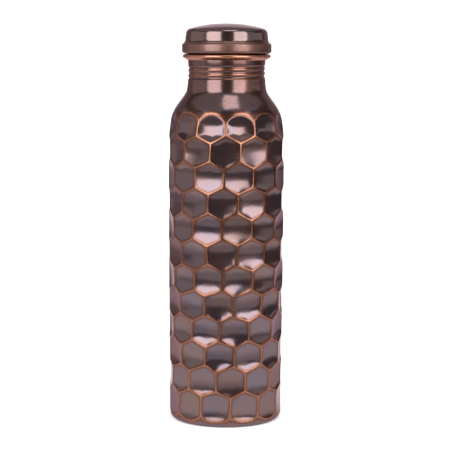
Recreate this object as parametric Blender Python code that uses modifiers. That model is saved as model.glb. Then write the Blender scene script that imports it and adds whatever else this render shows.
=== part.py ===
"""A copper water bottle: a pressed honeycomb body, a threaded mouth and a screw cap.

Metres, +Z up. The origin is the centre of the base and the Z axis is the axis of the bottle, the
thread and the cap. The front of the bottle faces -Y.
"""

import math

import bmesh
import bpy

# Body: one sheet from the foot to the top of the neck. Radii are of the outer face, at the ridges.
BODY_RADIUS = 0.0365
BODY_WALL = 0.0007
FOOT_TAPER = 0.001
FOOT_CORNER_RADIUS = 0.004
FOOT_RING_WIDTH = 0.0035
SHOULDER_FOOT_HEIGHT = 0.176
SHOULDER_RISE = 0.037
NECK_LENGTH = 0.0182
NECK_RADIUS = 0.0241

# The shoulder as (part of its rise, part of the step from the neck's radius to the body's).
SHOULDER_CURVE = (
    (0.0, 1.0),
    (0.176, 0.96),
    (0.297, 0.911),
    (0.405, 0.861),
    (0.486, 0.79),
    (0.554, 0.706),
    (0.643, 0.54),
    (0.743, 0.316),
    (0.811, 0.17),
    (0.881, 0.06),
    (1.0, 0.0),
)

# Honeycomb: pointed cells in rows, each row half a cell round from the next. It runs from just
# above the foot's corner to a little way up the shoulder, where its top cells have arched tops.
CELLS_AROUND = 12
CELL_ROWS = 12
CELL_POINT_HEIGHT = 0.00414
LOWEST_RIDGE_HEIGHT = 0.0076
HONEYCOMB_OVER_SHOULDER = 0.02204
TOP_POINT_OVER_SHOULDER = 0.0202
TOP_RIDGE_OVER_SHOULDER = 0.0155
PLAIN_SHEET_GAP = 0.0025
FIRST_CELL_ANGLE = math.radians(8.4 - 90.0)
TWIST_PER_METRE = math.radians(46.98)
TWIST_FREE_HEIGHT = 0.05308
RIDGE_WIDTH = 0.0012
RIDGE_DROP = 0.00015
CELL_DISH = 0.0005

# Neck: a right-hand groove rolled round it for the grip.
GROOVE_PITCH = 0.00314
GROOVE_DEPTH = 0.00053
GROOVE_TURNS = 3.4
GROOVE_OVER_SHOULDER = 0.0022
GROOVE_START_ANGLE = math.radians(180.0)

# Base plate, brazed on the inside of the foot ring.
BASE_PLATE_WALL = 0.0007
BASE_PLATE_CROWN = 0.002
BASE_PLATE_STEP = 0.0012

# Ring on the outside of the neck, below the cap.
NECK_RING_STAND_OUT = 0.00315
NECK_RING_HEIGHT = 0.0034
NECK_RING_ROUNDING = 0.0013
NECK_RING_FOOT_WIDTH = 0.0005

# Thread: a sheet ferrule in the neck, with a lining sleeve in the cap that runs on it.
THREAD_PITCH = 0.0045
THREAD_DEPTH = 0.0012
THREAD_CLEARANCE = 0.0006
THREAD_STEP_IN = 0.0033
FERRULE_WALL = 0.0006
FERRULE_TAIL = 0.0042
FERRULE_LIP_WIDTH = 0.0016
LIP_BEND = 0.0006
MOUTH_OVER_NECK = 0.0121

# Gasket of the cap, lying on the lip of the mouth.
SEAL_THICKNESS = 0.0018
SEAL_WIDTH = 0.0038
SEAL_SIDE_CLEARANCE = 0.001

# Cap: a drawn outer shell, closed round the flange of the lining sleeve at its hem.
CAP_WALL = 0.0006
LINER_WALL = 0.0006
CAP_SIDE_ROOM = 0.00145
CAP_HEADROOM = 0.00436
CAP_OVER_NECK = 0.0012
CAP_CROWN_DROP = 0.00185
CAP_CORNER_RADIUS = 0.0045
CAP_SIDE_SPREAD = 0.0005
CAP_BAND_STAND_OUT = 0.0027
CAP_BAND_HEIGHT = 0.0056
CAP_BAND_CORNER = 0.0008
CAP_FLARE_HEIGHT = 0.003
CAP_HEM_CORNER = 0.001
CAP_HEM_WIDTH = 0.001

# Gap that stands for contact between pieces that touch, and how finely round pieces are made.
FIT = 0.0003
ROUND_STEPS = 36
GROOVE_RINGS_PER_TURN = 4
THREAD_RINGS_PER_TURN = 4
SHOULDER_RINGS = 5

# Sizes and places that follow from those above.
FOOT_RADIUS = BODY_RADIUS - FOOT_TAPER
FOOT_RING_OUTER_RADIUS = FOOT_RADIUS - FOOT_CORNER_RADIUS
FOOT_RING_INNER_RADIUS = FOOT_RING_OUTER_RADIUS - FOOT_RING_WIDTH
NECK_FOOT_HEIGHT = SHOULDER_FOOT_HEIGHT + SHOULDER_RISE
NECK_TOP_HEIGHT = NECK_FOOT_HEIGHT + NECK_LENGTH
NECK_BORE_RADIUS = NECK_RADIUS - BODY_WALL
ROW_PITCH = (SHOULDER_FOOT_HEIGHT + HONEYCOMB_OVER_SHOULDER - LOWEST_RIDGE_HEIGHT) / CELL_ROWS
TOP_POINT_HEIGHT = SHOULDER_FOOT_HEIGHT + TOP_POINT_OVER_SHOULDER
TOP_RIDGE_HEIGHT = SHOULDER_FOOT_HEIGHT + TOP_RIDGE_OVER_SHOULDER
PLAIN_SHEET_HEIGHT = TOP_POINT_HEIGHT + PLAIN_SHEET_GAP
GROOVE_FOOT_HEIGHT = NECK_FOOT_HEIGHT + GROOVE_OVER_SHOULDER
FERRULE_ROOT_RADIUS = NECK_RADIUS - THREAD_STEP_IN
LINER_ROOT_RADIUS = FERRULE_ROOT_RADIUS + THREAD_DEPTH + THREAD_CLEARANCE
MOUTH_HEIGHT = NECK_TOP_HEIGHT + MOUTH_OVER_NECK
SEAL_FOOT_HEIGHT = MOUTH_HEIGHT + FIT
SEAL_TOP_HEIGHT = SEAL_FOOT_HEIGHT + SEAL_THICKNESS
LINER_CEILING_HEIGHT = SEAL_TOP_HEIGHT + FIT
CAP_HEM_HEIGHT = NECK_TOP_HEIGHT + CAP_OVER_NECK
CAP_BAND_TOP_HEIGHT = CAP_HEM_HEIGHT + CAP_BAND_HEIGHT
CAP_CROWN_HEIGHT = LINER_CEILING_HEIGHT + LINER_WALL + CAP_HEADROOM
CAP_SIDE_RADIUS = LINER_ROOT_RADIUS + LINER_WALL + CAP_SIDE_ROOM + CAP_WALL
CAP_BAND_RADIUS = CAP_SIDE_RADIUS + CAP_BAND_STAND_OUT
LINER_FLANGE_HEIGHT = CAP_HEM_HEIGHT + CAP_WALL + FIT
LINER_FLANGE_RADIUS = CAP_BAND_RADIUS - CAP_WALL - 2 * FIT
THREAD_FOOT_HEIGHT = LINER_FLANGE_HEIGHT + LIP_BEND


def clear_scene():
    for thing in list(bpy.data.objects):
        bpy.data.objects.remove(thing, do_unlink=True)


def copper(name, colour, roughness, metallic=1.0):
    """A Principled material of one colour."""
    material = bpy.data.materials.new(name)
    material.use_nodes = True
    shader = material.node_tree.nodes["Principled BSDF"]
    shader.inputs["Base Color"].default_value = (*colour, 1.0)
    shader.inputs["Roughness"].default_value = roughness
    shader.inputs["Metallic"].default_value = metallic
    return material


def add_piece(name, mesh, material, parent, collection):
    """The mesh as a named object on the bottle's axis, shaded smooth but for its sharp bends."""
    piece = bpy.data.objects.new(name, mesh)
    collection.objects.link(piece)
    mesh.materials.append(material)
    mesh.shade_smooth()
    mesh.set_sharp_from_angle(angle=math.radians(35.0))
    piece.parent = parent
    return piece


def add_wall(piece, thickness, outwards=False):
    """Gives an open sheet its thickness, inwards from the face that was drawn unless told otherwise."""
    wall = piece.modifiers.new("wall", "SOLIDIFY")
    wall.thickness = thickness
    wall.offset = 1.0 if outwards else -1.0


def outline_mesh(name, outline, closed):
    """A mesh of points and edges from (radius, height) pairs, which a Screw turns round the axis."""
    mesh = bpy.data.meshes.new(name)
    points = [(radius, 0.0, height) for radius, height in outline]
    edges = [(index, index + 1) for index in range(len(points) - 1)]
    if closed:
        edges.append((len(points) - 1, 0))
    mesh.from_pydata(points, edges, [])
    return mesh


def add_turned(name, outline, closed, material, parent, collection):
    piece = add_piece(name, outline_mesh(name, outline, closed), material, parent, collection)
    turn = piece.modifiers.new("turn", "SCREW")
    turn.steps = turn.render_steps = ROUND_STEPS
    turn.use_merge_vertices = True
    turn.merge_threshold = 0.00001
    return piece


def arc(centre, radius, start, end, steps):
    """Points on an arc in (radius, height), from the start angle to the end angle in degrees."""
    turn = [math.radians(start + (end - start) * step / steps) for step in range(steps + 1)]
    return [(centre[0] + radius * math.cos(a), centre[1] + radius * math.sin(a)) for a in turn]


def read_curve(points, where):
    """The height of a smooth curve through the points, read at one place along it."""
    index = max(i for i in range(len(points) - 1) if points[i][0] <= where or i == 0)

    def slope(i):
        before, after = points[max(i - 1, 0)], points[min(i + 1, len(points) - 1)]
        return (after[1] - before[1]) / (after[0] - before[0])

    (x0, y0), (x1, y1) = points[index], points[index + 1]
    span = x1 - x0
    t = min((where - x0) / span, 1.0)
    start_weight = 2 * t**3 - 3 * t**2 + 1
    bend = (t**3 - 2 * t**2 + t) * slope(index) + (t**3 - t**2) * slope(index + 1)
    return y0 * start_weight + y1 * (1 - start_weight) + span * bend


def body_radius(height):
    """The radius of the body's outer face, on the ridges, at a height above the base."""
    if height < FOOT_CORNER_RADIUS:
        below = FOOT_CORNER_RADIUS - height
        return FOOT_RADIUS - FOOT_CORNER_RADIUS + math.sqrt(FOOT_CORNER_RADIUS**2 - below**2)
    if height < SHOULDER_FOOT_HEIGHT:
        swell = math.sin(math.pi / 2 * height / SHOULDER_FOOT_HEIGHT)
        return FOOT_RADIUS + (BODY_RADIUS - FOOT_RADIUS) * swell
    if height < NECK_FOOT_HEIGHT:
        rise = (height - SHOULDER_FOOT_HEIGHT) / (NECK_FOOT_HEIGHT - SHOULDER_FOOT_HEIGHT)
        return NECK_RADIUS + (BODY_RADIUS - NECK_RADIUS) * read_curve(SHOULDER_CURVE, rise)
    return NECK_RADIUS


def helix_wave(angle, height, pitch, lead_angle, lead_height):
    """1 on a right-hand helix that starts at the lead, and -1 half a pitch above and below it."""
    return math.cos(2 * math.pi * (height - lead_height) / pitch - (angle - lead_angle))


def fade(height, low, high, length):
    """1 between two heights, falling to 0 over a length inside each of them."""
    inside = min(height - low, high - height) / length
    return min(max(inside, 0.0), 1.0)


def spin_outline(sheet, outline, steps):
    """Adds the (radius, height) outline, turned round the axis, to the sheet."""
    points = [sheet.verts.new((radius, 0.0, height)) for radius, height in outline]
    edges = [sheet.edges.new(pair) for pair in zip(points, points[1:])]
    bmesh.ops.spin(
        sheet,
        geom=points + edges,
        cent=(0.0, 0.0, 0.0),
        axis=(0.0, 0.0, 1.0),
        angle=2 * math.pi,
        steps=steps,
        use_merge=True,
    )
    bmesh.ops.remove_doubles(sheet, verts=sheet.verts[:], dist=0.000005)


def bridge_rims(sheet, low, high):
    """Joins the two open rims of the sheet that lie between two heights."""
    low, high = low - 0.0001, high + 0.0001
    rims = [
        edge
        for edge in sheet.edges
        if len(edge.link_faces) == 1 and all(low < point.co.z < high for point in edge.verts)
    ]
    bmesh.ops.bridge_loops(sheet, edges=rims)


def sheet_mesh(name, sheet):
    """The finished sheet as a mesh, with its faces outwards."""
    bmesh.ops.recalc_face_normals(sheet, faces=sheet.faces[:])
    mesh = bpy.data.meshes.new(name)
    sheet.to_mesh(mesh)
    sheet.free()
    return mesh


def zigzag_height(column, line):
    """The height at which a half-cell column crosses the zigzag line below a row of cells."""
    ridge_end = (column + line) % 2 == 0
    if line == 0:
        return TOP_POINT_HEIGHT if ridge_end else TOP_RIDGE_HEIGHT
    height = LOWEST_RIDGE_HEIGHT + (CELL_ROWS - line) * ROW_PITCH
    return height if ridge_end else height - CELL_POINT_HEIGHT


def press_honeycomb(sheet):
    """A grid wrapped round the body's outline, merged into pointed cells, each one dished."""
    columns = 2 * CELLS_AROUND
    bmesh.ops.create_grid(sheet, x_segments=columns, y_segments=CELL_ROWS, size=1.0)
    column_of = sheet.verts.layers.int.new("column")
    line_of = sheet.verts.layers.int.new("line")
    for point in sheet.verts:
        column = round((point.co.x + 1.0) / 2.0 * columns)
        line = round((1.0 - point.co.y) / 2.0 * CELL_ROWS)
        point[column_of] = column % columns
        point[line_of] = line
        height = zigzag_height(column, line)
        angle = FIRST_CELL_ANGLE + math.pi * column / CELLS_AROUND
        angle += TWIST_PER_METRE * (height - TWIST_FREE_HEIGHT)
        radius = body_radius(height)
        point.co = (radius * math.cos(angle), radius * math.sin(angle), height)
    bmesh.ops.remove_doubles(sheet, verts=sheet.verts[:], dist=0.00001)
    mid_cell = []
    for edge in sheet.edges:
        lower = max(edge.verts, key=lambda point: point[line_of])
        upright = edge.verts[0][column_of] == edge.verts[1][column_of]
        if upright and (lower[column_of] + lower[line_of]) % 2:
            mid_cell.append(edge)
    bmesh.ops.dissolve_edges(sheet, edges=mid_cell, use_verts=False)
    bmesh.ops.recalc_face_normals(sheet, faces=sheet.faces[:])
    bmesh.ops.inset_individual(
        sheet, faces=sheet.faces[:], thickness=RIDGE_WIDTH / 2, depth=-RIDGE_DROP
    )
    cells = [face for face in sheet.faces if len(face.verts) == 6]
    bmesh.ops.poke(sheet, faces=cells, offset=-CELL_DISH, center_mode="MEAN")


def shoulder_and_neck():
    """The outline from the top of the neck down to just above the honeycomb."""
    ring_gap = GROOVE_PITCH / GROOVE_RINGS_PER_TURN
    groove_rings = round(GROOVE_TURNS * GROOVE_RINGS_PER_TURN) + 2
    groove_top = GROOVE_FOOT_HEIGHT + (groove_rings - 1) * ring_gap
    heights = [NECK_TOP_HEIGHT, (NECK_TOP_HEIGHT + groove_top) / 2]
    heights += [GROOVE_FOOT_HEIGHT + ring * ring_gap for ring in reversed(range(groove_rings))]
    ring_gap = (NECK_FOOT_HEIGHT - PLAIN_SHEET_HEIGHT) / SHOULDER_RINGS
    heights += [NECK_FOOT_HEIGHT - ring * ring_gap for ring in range(SHOULDER_RINGS + 1)]
    return [(body_radius(height), height) for height in heights]


def roll_groove(sheet):
    """Presses the helical groove into the neck."""
    top = GROOVE_FOOT_HEIGHT + GROOVE_TURNS * GROOVE_PITCH
    for point in sheet.verts:
        if not GROOVE_FOOT_HEIGHT < point.co.z < top:
            continue
        angle = math.atan2(point.co.y, point.co.x)
        lead = GROOVE_FOOT_HEIGHT + GROOVE_PITCH / 2
        wave = helix_wave(angle, point.co.z, GROOVE_PITCH, GROOVE_START_ANGLE, lead)
        share = fade(point.co.z, GROOVE_FOOT_HEIGHT, top, GROOVE_PITCH / 2)
        drop = GROOVE_DEPTH * share * (1 + wave) / 2
        scale = 1 - drop / NECK_RADIUS
        point.co.x *= scale
        point.co.y *= scale


def add_body_shell(material, parent, collection):
    sheet = bmesh.new()
    press_honeycomb(sheet)
    spin_outline(sheet, shoulder_and_neck(), ROUND_STEPS)
    roll_groove(sheet)
    bridge_rims(sheet, TOP_RIDGE_HEIGHT, PLAIN_SHEET_HEIGHT)
    corner = (FOOT_RING_OUTER_RADIUS, FOOT_CORNER_RADIUS)
    foot = arc(corner, FOOT_CORNER_RADIUS, -45.0, -90.0, 2)
    foot.append((FOOT_RING_INNER_RADIUS, 0.0))
    spin_outline(sheet, foot, ROUND_STEPS)
    bridge_rims(sheet, foot[0][1], LOWEST_RIDGE_HEIGHT)
    piece = add_piece("body_shell", sheet_mesh("body_shell", sheet), material, parent, collection)
    add_wall(piece, BODY_WALL)


def add_base_plate(material, parent, collection):
    floor = BODY_WALL + FIT
    outline = [
        (FOOT_RING_OUTER_RADIUS, floor),
        (FOOT_RING_INNER_RADIUS, floor),
        (FOOT_RING_INNER_RADIUS - BASE_PLATE_STEP, floor + BASE_PLATE_STEP),
        (FOOT_RING_INNER_RADIUS / 2, floor + BASE_PLATE_STEP + 0.75 * BASE_PLATE_CROWN),
        (0.0, floor + BASE_PLATE_STEP + BASE_PLATE_CROWN),
    ]
    piece = add_turned("base_plate", outline, False, material, parent, collection)
    add_wall(piece, BASE_PLATE_WALL)


def add_neck_ring(material, parent, collection):
    top = NECK_TOP_HEIGHT
    bottom = top - NECK_RING_HEIGHT
    bore = NECK_RADIUS + FIT
    crest = NECK_RADIUS + NECK_RING_STAND_OUT - NECK_RING_ROUNDING
    outline = [(bore, top)]
    outline += arc((crest, top - NECK_RING_ROUNDING), NECK_RING_ROUNDING, 90.0, -30.0, 4)
    outline += [(bore + NECK_RING_FOOT_WIDTH, bottom), (bore, bottom)]
    add_turned("neck_ring", outline, True, material, parent, collection)


def thread_heights(low, high):
    """Ring heights from high to low, close enough to carry the thread."""
    rings = math.ceil((high - low) / THREAD_PITCH * THREAD_RINGS_PER_TURN)
    return [high - (high - low) * ring / rings for ring in range(rings + 1)]


def roll_thread(sheet, low, high, depth):
    """Moves the sheet out by the depth on the thread's helix, or inwards where it's negative."""
    for point in sheet.verts:
        if not low < point.co.z < high:
            continue
        angle = math.atan2(point.co.y, point.co.x)
        wave = helix_wave(angle, point.co.z, THREAD_PITCH, 0.0, THREAD_FOOT_HEIGHT)
        share = fade(point.co.z, low, high, THREAD_PITCH / 4) * (1 + math.copysign(1, depth) * wave) / 2
        radius = math.hypot(point.co.x, point.co.y)
        scale = 1 + depth * share / radius
        point.co.x *= scale
        point.co.y *= scale


def add_mouth_ferrule(material, parent, collection):
    low, high = THREAD_FOOT_HEIGHT, MOUTH_HEIGHT - 2 * LIP_BEND
    tail = NECK_BORE_RADIUS - FIT
    root = FERRULE_ROOT_RADIUS
    outline = [(root - FERRULE_LIP_WIDTH, MOUTH_HEIGHT)]
    outline += arc((root - LIP_BEND, MOUTH_HEIGHT - LIP_BEND), LIP_BEND, 90.0, 0.0, 2)
    outline += [(root, height) for height in thread_heights(low, high)]
    outline += [(tail, NECK_TOP_HEIGHT - FIT), (tail, NECK_TOP_HEIGHT - FERRULE_TAIL)]
    sheet = bmesh.new()
    spin_outline(sheet, outline, ROUND_STEPS)
    roll_thread(sheet, low, high, THREAD_DEPTH)
    mesh = sheet_mesh("mouth_ferrule", sheet)
    piece = add_piece("mouth_ferrule", mesh, material, parent, collection)
    add_wall(piece, FERRULE_WALL)


def add_cap_liner(material, parent, collection):
    low = LINER_FLANGE_HEIGHT + 2 * LIP_BEND
    high = MOUTH_HEIGHT - FIT
    root = LINER_ROOT_RADIUS
    ceiling = LINER_CEILING_HEIGHT
    outline = [(0.0, ceiling), (root - LIP_BEND, ceiling), (root, ceiling - LIP_BEND)]
    outline += [(root, height) for height in thread_heights(low, high)]
    outline += [(root + LIP_BEND, LINER_FLANGE_HEIGHT)]
    outline += [(LINER_FLANGE_RADIUS, LINER_FLANGE_HEIGHT)]
    sheet = bmesh.new()
    spin_outline(sheet, outline, ROUND_STEPS)
    roll_thread(sheet, low, high, -THREAD_DEPTH)
    mesh = sheet_mesh("cap_liner", sheet)
    piece = add_piece("cap_liner", mesh, material, parent, collection)
    add_wall(piece, LINER_WALL, outwards=True)


def add_seal_ring(material, parent, collection):
    outer = LINER_ROOT_RADIUS - SEAL_SIDE_CLEARANCE
    inner = outer - SEAL_WIDTH
    outline = [
        (outer, SEAL_TOP_HEIGHT),
        (outer, SEAL_FOOT_HEIGHT),
        (inner, SEAL_FOOT_HEIGHT),
        (inner, SEAL_TOP_HEIGHT),
    ]
    add_turned("seal_ring", outline, True, material, parent, collection)


def add_cap_shell(material, parent, collection):
    corner_height = CAP_CROWN_HEIGHT - CAP_CROWN_DROP - CAP_CORNER_RADIUS
    corner = (CAP_SIDE_RADIUS - CAP_CORNER_RADIUS, corner_height)
    crown_steps = 3
    outline = []
    for step in range(crown_steps):
        share = step / crown_steps
        outline.append((corner[0] * share, CAP_CROWN_HEIGHT - CAP_CROWN_DROP * share**2))
    outline += arc(corner, CAP_CORNER_RADIUS, 84.0, 0.0, 4)
    flare_top = CAP_BAND_TOP_HEIGHT + CAP_FLARE_HEIGHT
    outline.append((CAP_SIDE_RADIUS + CAP_SIDE_SPREAD, flare_top))
    outline.append((CAP_SIDE_RADIUS + 2 * CAP_SIDE_SPREAD, flare_top - CAP_FLARE_HEIGHT / 2))
    band_corner = (CAP_BAND_RADIUS - CAP_BAND_CORNER, CAP_BAND_TOP_HEIGHT - CAP_BAND_CORNER)
    outline += arc(band_corner, CAP_BAND_CORNER, 75.0, 0.0, 2)
    hem_corner = (CAP_BAND_RADIUS - CAP_HEM_CORNER, CAP_HEM_HEIGHT + CAP_HEM_CORNER)
    outline += arc(hem_corner, CAP_HEM_CORNER, 0.0, -90.0, 3)
    outline.append((CAP_BAND_RADIUS - CAP_HEM_CORNER - CAP_HEM_WIDTH, CAP_HEM_HEIGHT))
    piece = add_turned("cap_shell", outline, False, material, parent, collection)
    add_wall(piece, CAP_WALL)


clear_scene()
bottle = bpy.data.collections.new("copper_water_bottle")
bpy.context.scene.collection.children.link(bottle)
bottle_axis = bpy.data.objects.new("bottle_axis", None)
cap_axis = bpy.data.objects.new("cap_axis", None)
cap_axis.parent = bottle_axis
for axis in (bottle_axis, cap_axis):
    bottle.objects.link(axis)

dark_copper = copper("dark_copper", (0.20, 0.12, 0.10), 0.25)
bright_copper = copper("bright_copper", (0.65, 0.33, 0.20), 0.22)
cap_copper = copper("cap_copper", (0.24, 0.14, 0.10), 0.22)
plain_copper = copper("plain_copper", (0.55, 0.28, 0.18), 0.35)
silicone = copper("silicone", (0.75, 0.74, 0.70), 0.6, metallic=0.0)

add_body_shell(dark_copper, bottle_axis, bottle)
add_base_plate(plain_copper, bottle_axis, bottle)
add_neck_ring(bright_copper, bottle_axis, bottle)
add_mouth_ferrule(plain_copper, bottle_axis, bottle)
add_seal_ring(silicone, cap_axis, bottle)
add_cap_liner(plain_copper, cap_axis, bottle)
add_cap_shell(cap_copper, cap_axis, bottle)
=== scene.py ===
import math
import random

import bpy
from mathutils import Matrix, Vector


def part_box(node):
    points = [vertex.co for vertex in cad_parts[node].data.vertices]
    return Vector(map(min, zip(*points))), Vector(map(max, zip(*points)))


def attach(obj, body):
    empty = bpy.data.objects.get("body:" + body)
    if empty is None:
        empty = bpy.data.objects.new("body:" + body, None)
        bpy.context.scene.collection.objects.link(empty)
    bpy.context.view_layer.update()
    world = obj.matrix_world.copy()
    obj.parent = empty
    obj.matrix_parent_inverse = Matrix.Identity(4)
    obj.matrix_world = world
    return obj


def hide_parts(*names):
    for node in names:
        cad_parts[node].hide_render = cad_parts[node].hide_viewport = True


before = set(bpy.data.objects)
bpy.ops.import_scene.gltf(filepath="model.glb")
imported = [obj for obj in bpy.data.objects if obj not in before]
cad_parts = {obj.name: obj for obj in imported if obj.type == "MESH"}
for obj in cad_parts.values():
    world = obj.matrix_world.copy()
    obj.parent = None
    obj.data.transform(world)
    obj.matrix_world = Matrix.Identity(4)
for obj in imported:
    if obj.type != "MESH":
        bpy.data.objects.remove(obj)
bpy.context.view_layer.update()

# ---------------------------------------------------------------------------------------------
# Body shell. One sheet of copper, drawn into a tube, pressed into twelve rows of honeycomb
# cells and closed in to a neck, which has a right-hand groove rolled into it for the grip.
# The sheet is darkened all over, and the ridges are then buffed back to bright copper.
# ---------------------------------------------------------------------------------------------
NECK_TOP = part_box("body_shell")[1].z
BODY_RADIUS = 0.0365
FOOT_RADIUS = 0.0355
FOOT_CORNER = 0.004
FOOT_RING_INNER = 0.028
NECK_RADIUS = 0.0245
SHOULDER_FOOT = 0.177
NECK_FOOT = 0.2135
SHEET = 0.0007
SHOULDER_CURVE = (
    (0.0, 1.0),
    (0.176, 0.96),
    (0.297, 0.911),
    (0.405, 0.861),
    (0.486, 0.79),
    (0.554, 0.706),
    (0.643, 0.54),
    (0.743, 0.316),
    (0.811, 0.17),
    (0.881, 0.06),
    (1.0, 0.0),
)

CELLS_AROUND = 12
CELL_ROWS = 12
SIDE_STEPS = 4  # parts that each side of a cell is cut into
COLUMNS = 2 * CELLS_AROUND
ROUND = COLUMNS * SIDE_STEPS
ROW_PITCH = 0.01587
POINT_HEIGHT = 0.00414
LOWEST_RIDGE = 0.0076
TOP_POINT = 0.1962
TOP_RIDGE = 0.1915
FIRST_ANGLE = math.radians(8.4 - 90.0)
TWIST = math.radians(46.98)
TWIST_FREE = 0.05308
MILLIMETRE = 0.001
ROW_SHIFT = (0.0, 0.0, -0.6, -0.4, -0.45, 0.0, 1.4, -1.15, 0.3, 0.6, -1.3, -0.85)  # millimetres
HAND_SPREAD = 0.00025
PLAIN_SHEET = TOP_POINT + 0.0012
GROOVE_RINGS = 31
SHOULDER_RINGS = 16
INSET_STEPS = (0.00025, 0.0003, 0.00035, 0.0004, 0.0006)
FLOOR_RINGS = 4

# How the cells are struck: depths are shares of DISH_DEPTH, and leans are slopes.
DISH_DEPTH = 0.0017
DEPTH_AT_TOP = 0.94
DEPTH_PER_ROW = 0.022
TOP_ROW_DEPTH = 1.6
TOP_ROW_LEAN = -0.085
BASE_ROWS_DEPTH = 0.7
DEPTH_SPREAD = 0.06
LEAN_SPREAD = 0.012
DISH_ACROSS = 0.92
DISH_UP = 0.85
ARCH_SQUARENESS = 2.2
ARCH_FALL = 0.75
ARCH_LEAN = 0.85
CELL_REACH = 0.0006
RIDGE_SLOPE = 0.55
CREST_WIDTH = 0.00045
BLEND = 0.00025
RIDGE_SIDE = 0.0022
CORNER_ROUNDING = 2200.0

GROOVE_PITCH = 0.00314
GROOVE_DEPTH = 0.00053
GROOVE_FOOT = 0.2152
GROOVE_TURNS = 3.4
GROOVE_START = math.radians(180.0)
GROOVE_FADE = 1.6
# How far the groove's buffed band is shifted past the crests onto the upward-facing flanks, where it is a
# painted highlight.
BUFF_AND_HIGHLIGHT_LAG = math.radians(50.0)
NECK_PINCH = 0.00028
NECK_PINCH_TOP = 0.2284
PINCH_RISE = 0.003
PINCH_FALL = 0.0045
NECK_WARMTH = 0.37
SHOULDER_WARMTH = 0.75

hand = random.Random(7)


def read_curve(points, where):
    """The value of a smooth curve through the points, read at one place along it."""
    index = max(i for i in range(len(points) - 1) if points[i][0] <= where or i == 0)

    def slope(i):
        before, after = points[max(i - 1, 0)], points[min(i + 1, len(points) - 1)]
        return (after[1] - before[1]) / (after[0] - before[0])

    (x0, y0), (x1, y1) = points[index], points[index + 1]
    span = x1 - x0
    t = min((where - x0) / span, 1.0)
    start_weight = 2 * t**3 - 3 * t**2 + 1
    bend = (t**3 - 2 * t**2 + t) * slope(index) + (t**3 - t**2) * slope(index + 1)
    return y0 * start_weight + y1 * (1 - start_weight) + span * bend


def body_radius(height):
    """The radius of the body's outer face, on the ridges, at a height above the base."""
    if height < FOOT_CORNER:
        below = FOOT_CORNER - max(height, 0.0)
        return FOOT_RADIUS - FOOT_CORNER + math.sqrt(FOOT_CORNER**2 - below**2)
    if height < SHOULDER_FOOT:
        return FOOT_RADIUS + (BODY_RADIUS - FOOT_RADIUS) * math.sin(
            math.pi / 2 * height / SHOULDER_FOOT
        )
    if height < NECK_FOOT:
        rise = (height - SHOULDER_FOOT) / (NECK_FOOT - SHOULDER_FOOT)
        return NECK_RADIUS + (BODY_RADIUS - NECK_RADIUS) * read_curve(SHOULDER_CURVE, rise)
    return NECK_RADIUS


def smooth_step(value):
    """0 below 0 and 1 above 1, with a soft rise between them."""
    value = min(max(value, 0.0), 1.0)
    return value * value * (3 - 2 * value)


def junction(column, line):
    """Where three ridges meet, as (angle, height). It shifts with the row that its upright ridge is in."""
    upper_end = (column + line) % 2 == 1
    row = line + 1 if upper_end else line
    height = LOWEST_RIDGE + (CELL_ROWS - line) * ROW_PITCH - (POINT_HEIGHT if upper_end else 0.0)
    if line == 0:
        height = TOP_RIDGE if upper_end else TOP_POINT
    spread = hand_offsets[(column % COLUMNS, line)]
    angle = FIRST_ANGLE + math.pi * column / CELLS_AROUND + TWIST * (height - TWIST_FREE)
    angle += (ROW_SHIFT[min(max(row, 1), CELL_ROWS) - 1] * MILLIMETRE + spread[0]) / BODY_RADIUS
    if 0 < line < CELL_ROWS:
        height += spread[1]
    return angle, height


hand_offsets = {
    (column, line): (hand.gauss(0, HAND_SPREAD), hand.gauss(0, HAND_SPREAD))
    for line in range(CELL_ROWS + 1)
    for column in range(COLUMNS)
}

bpy.ops.object.select_all(action="DESELECT")
bpy.ops.mesh.primitive_grid_add(x_subdivisions=COLUMNS, y_subdivisions=CELL_ROWS, size=2.0)
shell = bpy.context.object
shell.name = "body_shell_honeycomb"
for point in shell.data.vertices:
    column = round((point.co.x + 1.0) / 2.0 * COLUMNS)
    line = round((1.0 - point.co.y) / 2.0 * CELL_ROWS)
    turn, height = junction(column, line)
    point.co = (BODY_RADIUS * math.cos(turn), BODY_RADIUS * math.sin(turn), height)

bpy.ops.object.mode_set(mode="EDIT")
bpy.ops.mesh.select_all(action="SELECT")
bpy.ops.mesh.remove_doubles(threshold=0.00001)
bpy.ops.mesh.normals_make_consistent(inside=False)
bpy.ops.mesh.select_mode(type="EDGE")
bpy.ops.mesh.select_all(action="DESELECT")
bpy.ops.object.mode_set(mode="OBJECT")


def grid_place(point):
    """The (column, line) of a junction on the wrapped grid."""
    line = round((LOWEST_RIDGE + CELL_ROWS * ROW_PITCH - point.co.z) / ROW_PITCH)
    line = min(max(line, 0), CELL_ROWS)
    turn = math.atan2(point.co.y, point.co.x)
    column = (turn - FIRST_ANGLE - TWIST * (point.co.z - TWIST_FREE)) * CELLS_AROUND / math.pi
    return round(column) % COLUMNS, line


for edge in shell.data.edges:
    ends = [grid_place(shell.data.vertices[index]) for index in edge.vertices]
    (column, line), (other_column, other_line) = ends
    upright = column == other_column and abs(line - other_line) == 1
    edge.select = upright and (column + max(line, other_line)) % 2 == 1

bpy.ops.object.mode_set(mode="EDIT")
bpy.ops.mesh.dissolve_edges(use_verts=False)
bpy.ops.mesh.select_all(action="SELECT")
bpy.ops.mesh.subdivide(number_cuts=SIDE_STEPS - 1)
bpy.ops.mesh.select_all(action="DESELECT")
bpy.ops.object.mode_set(mode="OBJECT")


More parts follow.
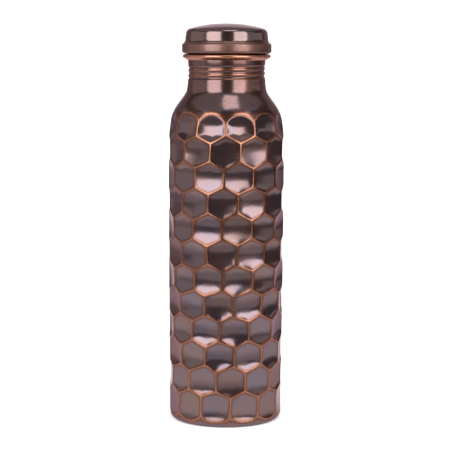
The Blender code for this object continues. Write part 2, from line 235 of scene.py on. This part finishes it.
class Cell:
    """One pressed cell: its six corners unrolled flat, and how deep and how level it was struck."""

    def __init__(self, mid, row):
        self.row = row
        around = [(mid, row - 1), (mid + 1, row - 1), (mid + 1, row)]
        around += [(mid, row), (mid - 1, row), (mid - 1, row - 1)]
        corners = [junction(column, line) for column, line in around]
        self.corners = [(turn * BODY_RADIUS, height) for turn, height in corners]
        self.depth = DISH_DEPTH * (DEPTH_AT_TOP + DEPTH_PER_ROW * row) * (1.0 + hand.gauss(0, DEPTH_SPREAD))
        self.lean = (hand.gauss(0, LEAN_SPREAD), hand.gauss(0, LEAN_SPREAD))
        if row >= CELL_ROWS - 1:
            self.depth *= BASE_ROWS_DEPTH
        if row == 1:
            self.depth *= TOP_ROW_DEPTH
            self.lean = (self.lean[0], self.lean[1] + TOP_ROW_LEAN)
        top = TOP_POINT if row == 1 else self.corners[0][1]
        self.middle = (sum(x for x, y in self.corners) / 6, (top + self.corners[3][1]) / 2)
        self.half_height = (top - self.corners[3][1]) / 2
        self.half_width = (self.corners[1][0] - self.corners[5][0]) / 2
        self.sides = []
        for index, (x0, y0) in enumerate(self.corners):
            x1, y1 = self.corners[(index + 1) % 6]
            length = math.hypot(x1 - x0, y1 - y0)
            arched = row == 1 and index in (0, 5) or row == CELL_ROWS and index in (2, 3)
            if not arched:
                self.sides.append((x1, y1, (y1 - y0) / length, -(x1 - x0) / length))

    def arch(self, across):
        """The height of the cell's arched top or foot at a place across it."""
        left, right = self.corners[5][0], self.corners[1][0]
        share = min(abs(2 * (across - left) / (right - left) - 1), 1.0)
        rounding = (1 - share**ARCH_SQUARENESS) ** ARCH_FALL
        if self.row == 1:
            return TOP_RIDGE + (TOP_POINT - TOP_RIDGE) * rounding
        return LOWEST_RIDGE - POINT_HEIGHT * rounding

    def floor(self, across, height):
        """How far below the ridges the struck dish lies."""
        aside, up = across - self.middle[0], height - self.middle[1]
        share = DISH_ACROSS * (aside / self.half_width) ** 2 + DISH_UP * (up / self.half_height) ** 2
        return self.depth * (1 - share) + self.lean[0] * aside + self.lean[1] * up

    def inside(self, across, height):
        """Distance in from the nearest side, rounded off where two sides meet."""
        distances = [(across - x) * nx + (height - y) * ny for x, y, nx, ny in self.sides]
        if self.row == 1:
            distances.append((self.arch(across) - height) * ARCH_LEAN)
        elif self.row == CELL_ROWS:
            distances.append((height - self.arch(across)) * ARCH_LEAN)
        nearest = min(distances)
        total = sum(math.exp(CORNER_ROUNDING * (nearest - distance)) for distance in distances)
        return nearest - math.log(total) / CORNER_ROUNDING


cells = {
    row: [Cell(mid, row) for mid in range(row % 2 + 1, COLUMNS + 1, 2)]
    for row in range(1, CELL_ROWS + 1)
}


def cell_over(row, turn):
    """The cell of a row that lies at an angle, with the place across it."""
    best = None
    for cell in cells[row]:
        across = turn * BODY_RADIUS
        across += 2 * math.pi * BODY_RADIUS * round((cell.middle[0] / BODY_RADIUS - turn) / 2 / math.pi)
        if best is None or abs(across - cell.middle[0]) < abs(best[1] - best[0].middle[0]):
            best = (cell, across)
    return best


def arch_at(row, turn):
    """The height of the arches that end the honeycomb, at an angle."""
    cell, across = cell_over(row, turn)
    return cell.arch(across)


def turned(name, outline, columns, first_angle=0.0):
    """A tube of the (radius, height) outline round the bottle's axis. An outline that runs downwards
    has its faces turned out."""
    bpy.ops.object.select_all(action="DESELECT")
    bpy.ops.mesh.primitive_cylinder_add(vertices=columns, radius=1.0, depth=1.0, end_fill_type="NOTHING")
    tube = bpy.context.object
    tube.name = name
    bpy.ops.object.mode_set(mode="EDIT")
    bpy.ops.mesh.select_mode(type="EDGE")
    bpy.ops.mesh.select_all(action="DESELECT")
    bpy.ops.object.mode_set(mode="OBJECT")
    for edge in tube.data.edges:
        ends = [tube.data.vertices[index].co for index in edge.vertices]
        edge.select = abs(ends[0].z - ends[1].z) > 0.5
    bpy.ops.object.mode_set(mode="EDIT")
    bpy.ops.mesh.subdivide(number_cuts=len(outline) - 2)
    bpy.ops.object.mode_set(mode="OBJECT")
    for point in tube.data.vertices:
        ring = round((0.5 - point.co.z) * (len(outline) - 1))
        turn = math.atan2(point.co.y, point.co.x) + first_angle
        radius, height = outline[ring]
        point.co = (radius * math.cos(turn), radius * math.sin(turn), height)
    bpy.ops.object.mode_set(mode="EDIT")
    bpy.ops.mesh.select_all(action="SELECT")
    bpy.ops.mesh.remove_doubles(threshold=0.000002)
    bpy.ops.mesh.select_all(action="DESELECT")
    bpy.ops.object.mode_set(mode="OBJECT")
    return tube


def arc(centre, radius, start, end, steps):
    """Points on an arc in (radius, height), from the start angle to the end angle in degrees."""
    turns = [math.radians(start + (end - start) * step / steps) for step in range(steps + 1)]
    return [(centre[0] + radius * math.cos(a), centre[1] + radius * math.sin(a)) for a in turns]


# The top cells end in arches on the shoulder, and the lowest ones in arches on the foot's corner.
RIM_BAND = 0.0002
for point in shell.data.vertices:
    turn = math.atan2(point.co.y, point.co.x)
    if point.co.z > TOP_RIDGE - RIM_BAND:
        point.co.z = arch_at(1, turn)
    elif point.co.z < LOWEST_RIDGE + RIM_BAND:
        point.co.z = arch_at(CELL_ROWS, turn)

# The neck above them and the foot below are turned, with their seams at the same angles.
groove_top = GROOVE_FOOT + GROOVE_TURNS * GROOVE_PITCH
neck_heights = [NECK_TOP, (NECK_TOP + groove_top) / 2]
for ring in range(GROOVE_RINGS + 1):
    neck_heights.append(groove_top - (groove_top - GROOVE_FOOT) * ring / GROOVE_RINGS)
for ring in range(SHOULDER_RINGS):
    neck_heights.append(GROOVE_FOOT - (GROOVE_FOOT - PLAIN_SHEET) * (ring + 1) / SHOULDER_RINGS)
top_turn = FIRST_ANGLE + TWIST * (TOP_POINT - TWIST_FREE)
neck = turned("neck", [(body_radius(z), z) for z in neck_heights], ROUND, top_turn)
foot_outline = arc((FOOT_RADIUS - FOOT_CORNER, FOOT_CORNER), FOOT_CORNER, -28.0, -90.0, 6)
foot_outline += [(FOOT_RING_INNER + 0.0006, 0.0), (FOOT_RING_INNER, 0.0003)]
low_turn = FIRST_ANGLE + TWIST * (LOWEST_RIDGE - TWIST_FREE)
foot = turned("foot", foot_outline, ROUND, low_turn)
bpy.ops.object.select_all(action="DESELECT")
for part in (neck, foot, shell):
    part.select_set(True)
bpy.context.view_layer.objects.active = shell
bpy.ops.object.join()


def join_rims(piece, low, high):
    """Bridges the two open rims of a piece that lie between two heights."""
    used = {}
    for face in piece.data.polygons:
        for key in face.edge_keys:
            used[key] = used.get(key, 0) + 1
    for edge in piece.data.edges:
        heights = [piece.data.vertices[index].co.z for index in edge.vertices]
        edge.select = used[edge.key] == 1 and min(heights) > low and max(heights) < high
    bpy.ops.object.mode_set(mode="EDIT")
    bpy.ops.mesh.bridge_edge_loops()
    bpy.ops.mesh.select_all(action="DESELECT")
    bpy.ops.object.mode_set(mode="OBJECT")


join_rims(shell, TOP_RIDGE - 0.0005, PLAIN_SHEET + 0.0002)
join_rims(shell, FOOT_CORNER * 0.5 - 0.0003, LOWEST_RIDGE + 0.0005)

# The ridges get narrow rings of faces, and the floors wider ones and a middle point. Only a cell's
# face has more than MANY corners, and only its middle point has more than MANY edges.
MANY = 12
bpy.context.tool_settings.mesh_select_mode = (False, False, True)
for face in shell.data.polygons:
    face.select = len(face.vertices) > MANY
bpy.ops.object.mode_set(mode="EDIT")
for thickness in INSET_STEPS:
    bpy.ops.mesh.inset(thickness=thickness, depth=0.0, use_individual=True, use_boundary=True)
bpy.ops.mesh.poke()
bpy.ops.mesh.select_mode(type="EDGE")
bpy.ops.mesh.select_all(action="DESELECT")
bpy.ops.object.mode_set(mode="OBJECT")
meetings = [0] * len(shell.data.vertices)
for edge in shell.data.edges:
    for index in edge.vertices:
        meetings[index] += 1
for edge in shell.data.edges:
    edge.select = max(meetings[index] for index in edge.vertices) > MANY
bpy.ops.object.mode_set(mode="EDIT")
bpy.ops.mesh.subdivide(number_cuts=FLOOR_RINGS)
bpy.ops.mesh.select_all(action="DESELECT")
bpy.ops.object.mode_set(mode="OBJECT")


def sunk(height, sink):
    """The (radius, height) of a point sunk square to the body's outline."""
    step = 0.0004
    steepest = 1.5
    slope = (body_radius(height + step) - body_radius(height - step)) / (2 * step)
    slope = min(max(slope, -steepest), steepest)
    length = math.hypot(1.0, slope)
    return body_radius(height) - sink / length, height + sink * slope / length


def soft_least(first, second):
    """The lesser of two depths, with the corner between them rounded off."""
    share = min(max(0.5 + 0.5 * (second - first) / BLEND, 0.0), 1.0)
    return second + (first - second) * share - BLEND * share * (1 - share)


def ridge_side(distance):
    """How far the side of a ridge has dropped, at a distance from the middle of its rounded crest."""
    if distance < CREST_WIDTH:
        return RIDGE_SLOPE * distance**2 / (2 * CREST_WIDTH)
    return RIDGE_SLOPE * (distance - CREST_WIDTH / 2)


def near_ridge(distance):
    """How near the crest of a ridge a point lies, from 1 on it to 0 where the floor begins."""
    return 1 - min(distance / RIDGE_SIDE, 1.0)


# Each cell's floor is struck inwards from its ridges, and the groove is rolled into the neck. How far
# each point is buffed is kept in "ridge" for the finish of the copper; on the groove it also holds a
# painted highlight, set on the upward-facing flanks that the lamps light.
ARCH_GLOW = 0.006
ARCH_GLOW_RATE = 0.7
ridge_share = []
for point in shell.data.vertices:
    turn = math.atan2(point.co.y, point.co.x)
    height = point.co.z
    best = (-1.0, None, 0.0)
    guess = int((LOWEST_RIDGE + CELL_ROWS * ROW_PITCH - height) / ROW_PITCH)
    if height < TOP_POINT + 0.0001:
        for row in {min(max(guess, 1), CELL_ROWS), min(max(guess + 1, 1), CELL_ROWS)}:
            cell, across = cell_over(row, turn)
            best = max(best, (cell.inside(across, height), cell, across), key=lambda found: found[0])
    inside, cell, across = best
    radius = body_radius(height)
    share = 0.0
    struck = inside > -CELL_REACH
    if struck:
        inside = max(inside, 0.0)
        sink = soft_least(cell.floor(across, height), ridge_side(inside))
        sink = -soft_least(-sink, 0.0)
        radius, height = sunk(height, sink)
        share = near_ridge(inside)
    elif TOP_RIDGE < height < TOP_POINT + ARCH_GLOW:
        share = near_ridge(max(height - arch_at(1, turn), 0.0) * ARCH_GLOW_RATE)
    elif GROOVE_FOOT < height < NECK_PINCH_TOP:
        over_foot = height - GROOVE_FOOT
        pinch = smooth_step(over_foot / PINCH_RISE) * smooth_step((NECK_PINCH_TOP - height) / PINCH_FALL)
        phase = 2 * math.pi * (over_foot / GROOVE_PITCH - 0.5) - (turn - GROOVE_START)
        fade = smooth_step(max(min(over_foot, groove_top - height), 0.0) / GROOVE_PITCH * GROOVE_FADE)
        radius -= NECK_PINCH * pinch + GROOVE_DEPTH * fade * (1 + math.cos(phase)) / 2
        # The groove's crests are buffed, and the band is shifted onto their upward-facing flanks as a
        # painted highlight.
        share = smooth_step((0.2 - math.cos(phase - BUFF_AND_HIGHLIGHT_LAG)) / 1.1) * fade
    if height > TOP_POINT and not struck:
        warmth = SHOULDER_WARMTH * smooth_step((height - TOP_POINT) / 0.005)
        warmth += (1 - SHOULDER_WARMTH) * smooth_step((height - TOP_POINT - 0.006) / 0.012)
        share = max(share, NECK_WARMTH * warmth)
    if struck or height > FOOT_CORNER - 0.0001:
        point.co = (radius * math.cos(turn), radius * math.sin(turn), height)
    ridge_share.append(share)
shell.data.attributes.new("ridge", "FLOAT", "POINT")
shell.data.attributes["ridge"].data.foreach_set("value", ridge_share)


def give_wall(piece, thickness):
    """Gives the drawn face its thickness on its inner side, with smooth shading."""
    bpy.ops.object.select_all(action="DESELECT")
    piece.select_set(True)
    bpy.context.view_layer.objects.active = piece
    wall = piece.modifiers.new("wall", "SOLIDIFY")
    wall.thickness = thickness
    wall.offset = -1.0
    bpy.ops.object.modifier_apply(modifier=wall.name)
    bpy.ops.object.shade_smooth_by_angle(angle=math.radians(40.0))


bpy.ops.object.mode_set(mode="EDIT")
bpy.ops.mesh.select_all(action="SELECT")
bpy.ops.mesh.normals_make_consistent(inside=False)
bpy.ops.mesh.select_all(action="DESELECT")
bpy.ops.object.mode_set(mode="OBJECT")
give_wall(shell, SHEET)


def add_node(tree, kind, links=(), **values):
    """A shader node, with its inputs by name as values, or as links from other nodes' sockets."""
    node = tree.nodes.new(kind)
    for name, value in values.items():
        if hasattr(node, name):
            setattr(node, name, value)
        else:
            node.inputs[name.replace("_", " ")].default_value = value
    for name, socket in dict(links).items():
        tree.links.new(socket, node.inputs[name])
    return node


def mix_colours(tree, factor, first, second):
    """A mix of two colours, each a socket or a plain colour."""
    mix = tree.nodes.new("ShaderNodeMix")
    mix.data_type = "RGBA"
    for index, value in ((0, factor), (6, first), (7, second)):
        if isinstance(value, bpy.types.NodeSocket):
            tree.links.new(value, mix.inputs[index])
        elif index == 0:
            mix.inputs[index].default_value = value
        else:
            mix.inputs[index].default_value = (*value, 1.0)
    return mix.outputs[2]


def copper_finish(name, dark, warm, side, bright, dark_roughness, bright_roughness, coat):
    """Darkened copper: two tones of patina that cloud into each other, browner up the sides of the
    ridges, and bright copper where the wheel has buffed their crests."""
    finish = bpy.data.materials.new(name)
    finish.use_nodes = True
    tree = finish.node_tree
    shader = tree.nodes["Principled BSDF"]
    shader.inputs["Metallic"].default_value = 1.0
    shader.inputs["Coat Weight"].default_value = coat
    shader.inputs["Coat Roughness"].default_value = 0.12
    shader.inputs["Specular Tint"].default_value = (0.62, 0.47, 0.52, 1.0)  # plum at glancing angles
    place = add_node(tree, "ShaderNodeTexCoord").outputs["Object"]
    clouds = add_node(tree, "ShaderNodeTexNoise", {"Vector": place}, Scale=55.0, Detail=3.0)
    grain = add_node(tree, "ShaderNodeTexNoise", {"Vector": place}, Scale=700.0, Detail=2.0)

    def spread(socket, low, high, to_low=0.0, to_high=1.0, kind="LINEAR"):
        node = tree.nodes.new("ShaderNodeMapRange")
        node.interpolation_type = kind
        for index, value in enumerate((low, high, to_low, to_high)):
            node.inputs[index + 1].default_value = value
        tree.links.new(socket, node.inputs[0])
        return node.outputs[0]

    def add(first, second):
        node = add_node(tree, "ShaderNodeMath", {0: first, 1: second}, operation="ADD")
        return node.outputs[0]

    ridge = add_node(tree, "ShaderNodeAttribute", attribute_name="ridge").outputs["Fac"]
    ragged = add(ridge, spread(grain.outputs["Fac"], 0.3, 0.7, -0.07, 0.07))
    flank = spread(ragged, 0.08, 0.6, kind="SMOOTHSTEP")
    crest = spread(ragged, 0.71, 1.0, kind="SMOOTHSTEP")
    patina = mix_colours(tree, spread(clouds.outputs["Fac"], 0.35, 0.65), dark, warm)
    colour = mix_colours(tree, crest, mix_colours(tree, flank, patina, side), bright)
    tree.links.new(colour, shader.inputs["Base Color"])
    polish = spread(flank, 0.0, 1.0, dark_roughness, bright_roughness)
    rough = add(polish, spread(clouds.outputs["Fac"], 0.3, 0.7, -0.03, 0.03))
    tree.links.new(rough, shader.inputs["Roughness"])
    ripple = add_node(tree, "ShaderNodeTexNoise", {"Vector": place}, Scale=160.0, Detail=2.0)
    bump = add_node(
        tree, "ShaderNodeBump", {"Height": ripple.outputs["Fac"]}, Strength=0.35, Distance=0.00006
    )
    tree.links.new(bump.outputs["Normal"], shader.inputs["Normal"])
    return finish


shell_finish = copper_finish(
    "antique_copper",
    dark=(0.130, 0.100, 0.121),
    warm=(0.158, 0.100, 0.093),
    side=(0.125, 0.056, 0.040),
    bright=(0.265, 0.115, 0.070),
    dark_roughness=0.17,
    bright_roughness=0.24,
    coat=0.2,
)
shell.data.materials.clear()
shell.data.materials.append(shell_finish)
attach(shell, "bottle")
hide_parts("body_shell")

# ---------------------------------------------------------------------------------------------
# Base plate. A disc of plain sheet copper, spun with a stepped rim and a low dome, and brazed on
# the inside of the foot ring, where it closes the body a little above the table.
# ---------------------------------------------------------------------------------------------
plate_low, plate_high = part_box("base_plate")
plate_rim = plate_high.x
PLATE_STEP = 0.0012
PLATE_RINGS = 8
plate_outline = [(plate_rim, plate_low.z), (FOOT_RING_INNER, plate_low.z)]
plate_outline += [(FOOT_RING_INNER - PLATE_STEP, plate_low.z + PLATE_STEP)]
plate_crown = plate_high.z - SHEET - plate_low.z - PLATE_STEP
for step in range(1, PLATE_RINGS + 1):
    share = 1 - step / PLATE_RINGS
    height = plate_low.z + PLATE_STEP + plate_crown * (1 - share**2)
    plate_outline.append(((FOOT_RING_INNER - PLATE_STEP) * share, height))
plate = turned("base_plate_disc", plate_outline, ROUND)
give_wall(plate, SHEET)
plain_finish = copper_finish(
    "plain_copper",
    dark=(0.50, 0.26, 0.18),
    warm=(0.58, 0.30, 0.19),
    side=(0.58, 0.30, 0.19),
    bright=(0.62, 0.34, 0.22),
    dark_roughness=0.34,
    bright_roughness=0.3,
    coat=0.0,
)
plate.data.materials.append(plain_finish)
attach(plate, "bottle")
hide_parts("base_plate")

# ---------------------------------------------------------------------------------------------
# Neck ring. A half-round ring of copper, slipped over the neck below the cap, brazed there and
# buffed bright. It stands a little higher and wider than the frame's plain ring.
# ---------------------------------------------------------------------------------------------
ring_low, ring_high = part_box("neck_ring")
ring_low.z += 0.0004
ring_high.z += 0.0007
ring_radius = ring_high.x + 0.0005
ring_bore = NECK_RADIUS + 0.0003
ring_round = 0.0013
ring_outline = [(ring_bore, ring_high.z), (ring_radius - 0.0022, ring_high.z)]
ring_middle = (ring_radius - ring_round, ring_high.z - ring_round - 0.0001)
ring_outline += arc(ring_middle, ring_round, 80.0, -40.0, 10)
ring_outline += [(ring_bore + 0.0009, ring_low.z + 0.0005), (ring_bore + 0.0005, ring_low.z)]
ring_outline += [(ring_bore, ring_low.z), (ring_bore, ring_high.z)]
ring = turned("neck_ring_buffed", ring_outline, ROUND)
bpy.ops.object.shade_smooth_by_angle(angle=math.radians(40.0))
ring_finish = copper_finish(
    "bright_copper",
    dark=(0.36, 0.165, 0.112),
    warm=(0.42, 0.185, 0.12),
    side=(0.40, 0.17, 0.11),
    bright=(0.56, 0.26, 0.17),
    dark_roughness=0.26,
    bright_roughness=0.2,
    coat=0.2,
)
ring.data.materials.append(ring_finish)
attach(ring, "bottle")
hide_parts("neck_ring")

# ---------------------------------------------------------------------------------------------
# Cap shell. A cap drawn from one sheet of copper and darkened, with a low crown, a flared band for
# the fingers, and a hem that is turned in at the foot to hold the liner.
# ---------------------------------------------------------------------------------------------
cap_low, cap_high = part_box("cap_shell")
CAP_BAND_RADIUS = cap_high.x + 0.0002
CAP_SIDE_RADIUS = CAP_BAND_RADIUS - 0.0024
CAP_SHEET = 0.0006
HEM = cap_low.z
CROWN = cap_high.z + 0.0004
CROWN_DROP = 0.0034
CORNER_ROUND = 0.0036
CORNER_TOP = 62.0
CROWN_RINGS = 14
CROWN_FLATNESS = 2.2
crown_edge = CAP_SIDE_RADIUS - CORNER_ROUND * (1 - math.cos(math.radians(CORNER_TOP)))
corner_height = CROWN - CROWN_DROP - CORNER_ROUND * math.sin(math.radians(CORNER_TOP))
cap_outline = []
for step in range(CROWN_RINGS):
    share = step / CROWN_RINGS
    cap_outline.append((crown_edge * share, CROWN - CROWN_DROP * share**CROWN_FLATNESS))
cap_outline += arc((CAP_SIDE_RADIUS - CORNER_ROUND, corner_height), CORNER_ROUND, CORNER_TOP, 0.0, 12)
cap_outline += [
    (CAP_SIDE_RADIUS + 0.0002, CROWN - 0.0082),
    (CAP_SIDE_RADIUS + 0.0004, CROWN - 0.0102),
    (CAP_SIDE_RADIUS + 0.0006, CROWN - 0.0111),
    (CAP_SIDE_RADIUS + 0.0010, CROWN - 0.0116),
]
band_top = HEM + 0.0063
cap_outline += arc((CAP_BAND_RADIUS - 0.0012, band_top - 0.0012), 0.0012, 86.0, 0.0, 8)
cap_outline += [(CAP_BAND_RADIUS, HEM + 0.0032), (CAP_BAND_RADIUS, HEM + 0.002)]
cap_outline += arc((CAP_BAND_RADIUS - 0.0013, HEM + 0.0013), 0.0013, -10.0, -90.0, 8)
cap_outline += [(CAP_BAND_RADIUS - 0.0015, HEM - 0.0001), (CAP_BAND_RADIUS - 0.0019, HEM - 0.0003)]
cap_outline += [(CAP_BAND_RADIUS - 0.0023, HEM - 0.0002)]
cap = turned("cap_shell_drawn", cap_outline, ROUND)

# The band is left satin below the polished side.
SATIN = 0.42
satin_top = CROWN - 0.0108
satin = [SATIN * smooth_step((satin_top - point.co.z) / 0.0012) for point in cap.data.vertices]
cap.data.attributes.new("ridge", "FLOAT", "POINT")
cap.data.attributes["ridge"].data.foreach_set("value", satin)
give_wall(cap, CAP_SHEET)
cap_finish = copper_finish(
    "cap_copper",
    dark=(0.128, 0.094, 0.097),
    warm=(0.165, 0.105, 0.092),
    side=(0.175, 0.088, 0.068),
    bright=(0.45, 0.19, 0.11),
    dark_roughness=0.15,
    bright_roughness=0.45,
    coat=0.2,
)
cap.data.materials.append(cap_finish)
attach(cap, "cap")
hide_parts("cap_shell")

# ---------------------------------------------------------------------------------------------
# Mouth ferrule. A tube of plain sheet copper with the thread rolled into it and its lip turned in,
# brazed in the top of the neck. It keeps the frame's shape, so that the cap's thread runs clear of it.
# ---------------------------------------------------------------------------------------------
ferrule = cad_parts["mouth_ferrule"]
ferrule.data.materials.clear()
ferrule.data.materials.append(plain_finish)

# ---------------------------------------------------------------------------------------------
# Cap liner. A threaded sleeve of plain sheet copper, closed at the top and held in the cap by the
# cap's hem. It keeps the frame's shape, so that it runs clear of the ferrule's thread.
# ---------------------------------------------------------------------------------------------
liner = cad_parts["cap_liner"]
liner.data.materials.clear()
liner.data.materials.append(plain_finish)

# ---------------------------------------------------------------------------------------------
# Seal ring. A flat gasket of milky silicone, cut from sheet, lying loose between the liner's top
# and the lip of the mouth. It keeps the frame's shape.
# ---------------------------------------------------------------------------------------------
silicone = bpy.data.materials.new("silicone")
silicone.use_nodes = True
silicone_tree = silicone.node_tree
silicone_shader = silicone_tree.nodes["Principled BSDF"]
silicone_place = add_node(silicone_tree, "ShaderNodeTexCoord").outputs["Object"]
milk = add_node(silicone_tree, "ShaderNodeTexNoise", {"Vector": silicone_place}, Scale=180.0).outputs["Fac"]
milky = mix_colours(silicone_tree, milk, (0.66, 0.65, 0.61), (0.74, 0.73, 0.69))
silicone_tree.links.new(milky, silicone_shader.inputs["Base Color"])
silicone_shader.inputs["Roughness"].default_value = 0.6
silicone_shader.inputs["Subsurface Weight"].default_value = 0.1
silicone_shader.inputs["Subsurface Radius"].default_value = (0.002, 0.002, 0.002)
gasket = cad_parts["seal_ring"]
gasket.data.materials.clear()
gasket.data.materials.append(silicone)

# ---------------------------------------------------------------------------------------------
# Studio. A pale floor and a low backdrop, two tall soft boxes on the sides of the camera, a small
# one hung high above it, and dim cards at the sides, behind and overhead that fill the reflections.
# ---------------------------------------------------------------------------------------------
FLOOR_LEFT, FLOOR_RIGHT = -1.3, 0.55
FLOOR_FRONT, FLOOR_BACK = -0.45, 1.3
BACKDROP_SIDE, BACKDROP_TOP = 0.36, 0.3

# The floor glows white round the bottle with painted light from its emission, and its colour and glow
# fall off darker at the sides and in front, a painted falloff seen only in the copper.
floor_finish = bpy.data.materials.new("pale_floor_painted_glow")
floor_finish.use_nodes = True
floor_tree = floor_finish.node_tree
floor_shader = floor_tree.nodes["Principled BSDF"]
floor_place = add_node(floor_tree, "ShaderNodeTexCoord").outputs["Object"]
floor_axes = add_node(floor_tree, "ShaderNodeSeparateXYZ", {"Vector": floor_place}).outputs
away = add_node(floor_tree, "ShaderNodeMath", {0: floor_axes["X"]}, operation="ABSOLUTE").outputs[0]
sides = add_node(floor_tree, "ShaderNodeMapRange", {"Value": away}, From_Min=0.33, From_Max=0.55).outputs[0]
front = add_node(
    floor_tree, "ShaderNodeMapRange", {"Value": floor_axes["Y"]}, From_Min=-0.095, From_Max=-0.2
).outputs[0]
edge = add_node(floor_tree, "ShaderNodeMath", {0: sides, 1: front}, operation="MAXIMUM").outputs[0]
painted_floor_light = mix_colours(floor_tree, edge, (0.9, 0.9, 0.9), (0.42, 0.41, 0.42))
floor_tree.links.new(painted_floor_light, floor_shader.inputs["Base Color"])
floor_tree.links.new(painted_floor_light, floor_shader.inputs["Emission Color"])
floor_shader.inputs["Roughness"].default_value = 0.9
# Painted light: the floor glows with this emission, though it is no lamp.
floor_shader.inputs["Emission Strength"].default_value = 0.42

bpy.ops.object.select_all(action="DESELECT")
bpy.ops.mesh.primitive_plane_add(size=1.0)
floor = bpy.context.object
floor.name = "floor"
for point in floor.data.vertices:
    point.co.x = FLOOR_LEFT if point.co.x < 0 else FLOOR_RIGHT
    point.co.y = FLOOR_FRONT if point.co.y < 0 else FLOOR_BACK
floor.data.materials.append(floor_finish)

bpy.ops.object.select_all(action="DESELECT")
bpy.ops.mesh.primitive_plane_add(size=1.0)
backdrop = bpy.context.object
backdrop.name = "backdrop"
for point in backdrop.data.vertices:
    side = -BACKDROP_SIDE if point.co.x < 0 else BACKDROP_SIDE
    point.co = (side, FLOOR_BACK, 0.0 if point.co.y < 0 else BACKDROP_TOP)
# The backdrop shares the floor's painted glow.
backdrop.data.materials.append(floor_finish)


def soft_box(name, azimuth, low, high, distance, half_width, radiance):
    """An upright area light that faces the bottle's axis, with its foot and top at given heights. Its
    azimuth is in degrees to the right of the front."""
    light = bpy.data.lights.new(name, "AREA")
    light.shape = "RECTANGLE"
    light.size = 2 * half_width
    light.size_y = high - low
    light.energy = radiance * math.pi * light.size * light.size_y
    lamp = bpy.data.objects.new(name, light)
    bpy.context.scene.collection.objects.link(lamp)
    turn = math.radians(azimuth)
    lamp.location = (distance * math.sin(turn), -distance * math.cos(turn), (low + high) / 2)
    lamp.rotation_euler = (math.radians(90.0), 0.0, turn)
    return lamp


soft_box("left_box", -37.0, 0.12, 1.0, 0.9, 0.335, 4.8)
soft_box("right_box", 39.0, 0.12, 1.0, 0.9, 0.305, 4.6)
soft_box("left_card", -92.0, 0.0, 0.9, 1.1, 0.55, 0.65)
soft_box("left_rear_card", -140.0, 0.0, 0.9, 1.2, 0.5, 0.25)
soft_box("right_card", 66.0, 0.0, 0.9, 1.1, 0.36, 0.5)
soft_box("right_rear_card", 148.0, 0.0, 0.9, 1.2, 0.5, 0.35)
soft_box("right_high_card", 100.0, 0.236, 0.5, 1.1, 0.34, 0.6)
soft_box("rear_card", 180.0, 0.33, 1.1, 1.4, 0.55, 0.9)

# The top box hangs aslant and looks down at the shoulder, and the ceiling card lies level.
SHOULDER_MIDDLE = 0.205
TOP_BOX_AWAY = 0.9
top_box = soft_box("top_box", 20.0, 0.0, 0.24, 1.0, 0.2, 3.8)
rise, swing = math.radians(67.0), math.radians(18.0)
reach, lift = TOP_BOX_AWAY * math.cos(rise), TOP_BOX_AWAY * math.sin(rise)
top_box.location = (reach * math.sin(swing), -reach * math.cos(swing), SHOULDER_MIDDLE + lift)
top_box.rotation_euler = (math.radians(90.0) - rise, 0.0, swing)
ceiling = soft_box("ceiling", 0.0, 0.0, 3.0, 1.0, 1.5, 0.42)
ceiling.location = (0.0, 0.3, 1.6)
ceiling.rotation_euler = (0.0, 0.0, 0.0)

world = bpy.data.worlds.new("studio")
world.use_nodes = True
world.node_tree.nodes["Background"].inputs["Color"].default_value = (1.0, 0.86, 0.82, 1.0)
world.node_tree.nodes["Background"].inputs["Strength"].default_value = 0.2
bpy.context.scene.world = world

camera_data = bpy.data.cameras.new("camera")
camera_data.lens = 129.87
camera_data.sensor_width = 36.0
camera = bpy.data.objects.new("camera", camera_data)
bpy.context.scene.collection.objects.link(camera)
camera.location = (0.0, -1.03, 0.2431)
camera.rotation_euler = (math.radians(83.355), math.radians(-0.248), math.radians(0.029))
bpy.context.scene.camera = camera
bpy.context.scene.view_settings.view_transform = "Standard"
